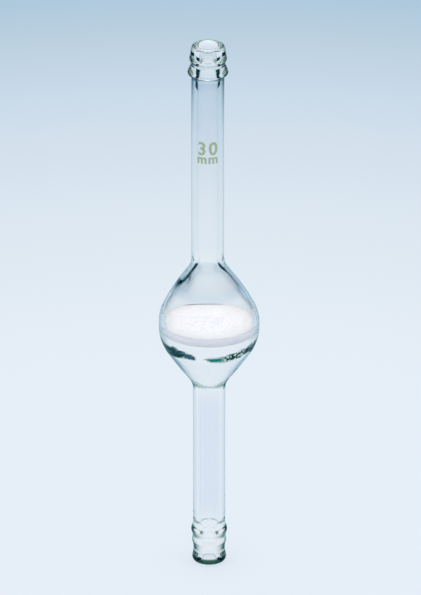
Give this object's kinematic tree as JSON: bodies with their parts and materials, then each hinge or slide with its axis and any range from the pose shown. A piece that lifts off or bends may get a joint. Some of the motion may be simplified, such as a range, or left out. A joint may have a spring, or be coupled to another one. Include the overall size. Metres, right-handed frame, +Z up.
{
  "type": "glass filter tube",
  "caption": "Straight glass tube with a blown bulb holding a white sintered glass disc, and a ringed hose end at each mouth.",
  "frame": {"origin": "centre of the lower end's foot, on the surface that the tube stands on", "axes": "+Z up the tube's axis, from the lower mouth through the bulb to the upper mouth; the tube is round about it"},
  "size_m": [0.032, 0.032, 0.179],
  "materials": {
    "clear_glass": "fire-polished clear borosilicate glass with a faint green edge",
    "sintered_glass": "white matt porous sintered glass"
  },
  "bodies": {
    "root": {"glass_body": "clear_glass", "sintered_disc": "sintered_glass"}
  },
  "joints": []
}
